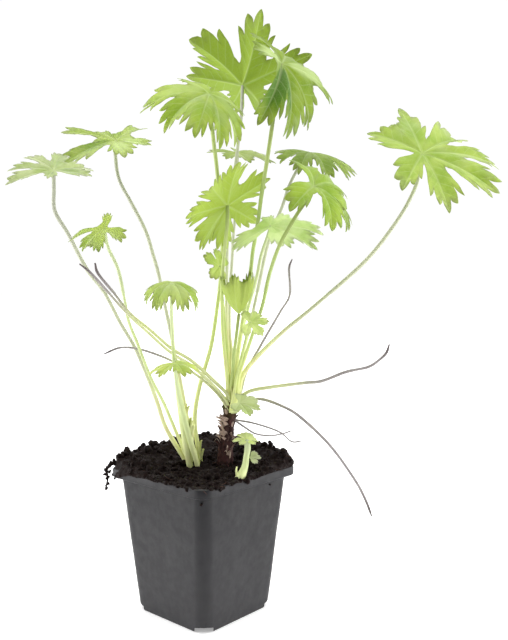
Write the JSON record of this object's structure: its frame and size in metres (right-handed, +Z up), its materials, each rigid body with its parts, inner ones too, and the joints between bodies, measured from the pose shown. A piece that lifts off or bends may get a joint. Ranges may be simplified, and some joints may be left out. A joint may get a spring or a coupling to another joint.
{
  "type": "hardy geranium in a square nursery pot",
  "caption": "Young hardy geranium with long-stalked lobed leaves, a woody rhizome and dry stalks, in a square tapered nursery pot of heaped soil.",
  "frame": {"origin": "centre of the pot's foot, on the surface it stands on", "axes": "+Z up; the pot's sides are parallel to X and Y; the pictured side is the corner between -Y and +X"},
  "size_m": [0.2776, 0.2695, 0.4251],
  "materials": {
    "pot_plastic": "thin thermoformed plastic, matte with a soft sheen",
    "soil": "moist, crumbly, fibrous potting soil",
    "rhizome": "dark red-brown, scaly, with papery fibres",
    "leaf": "softly hairy, matte, translucent",
    "leaf_pale": "matte, pale green, translucent",
    "petiole": "fine-haired, pale green",
    "dry_stalk": "dry, grey-brown, finely ribbed"
  },
  "bodies": {
    "root": {"pot": "pot_plastic", "soil": "soil", "rhizome": "rhizome", "blade_right": "leaf", "blade_top": "leaf", "blade_upper_left": "leaf", "blade_upper_right": "leaf", "blade_shaded": "leaf", "blade_bright": "leaf", "blade_pale": "leaf_pale", "blade_centre": "leaf", "blade_left": "leaf", "blade_far_left": "leaf_pale", "blade_small_left": "leaf", "blade_umbrella": "leaf", "blade_low_left": "leaf", "blade_edge": "leaf_pale", "blade_young_left": "leaf", "blade_folded": "leaf", "blade_young_right": "leaf", "blade_lowest": "leaf_pale", "blade_seedling": "leaf", "blade_seedling_low": "leaf_pale", "petiole_right": "petiole", "petiole_top": "petiole", "petiole_upper_right": "petiole", "petiole_shaded": "petiole", "petiole_bright": "petiole", "petiole_pale": "petiole", "petiole_centre": "petiole", "petiole_edge": "petiole", "petiole_young_left": "petiole", "petiole_folded": "petiole", "petiole_young_right": "petiole", "petiole_lowest": "petiole", "petiole_upper_left": "petiole", "petiole_left": "petiole", "petiole_far_left": "petiole", "petiole_small_left": "petiole", "petiole_umbrella": "petiole", "petiole_low_left": "petiole", "petiole_seedling": "petiole", "dry_stalk_long_left": "dry_stalk", "dry_stalk_left_twin": "dry_stalk", "dry_stalk_mid_left": "dry_stalk", "dry_stalk_back": "dry_stalk", "dry_stalk_long_right": "dry_stalk", "dry_stalk_low_right": "dry_stalk", "root_right": "dry_stalk", "root_back": "dry_stalk"}
  },
  "joints": []
}
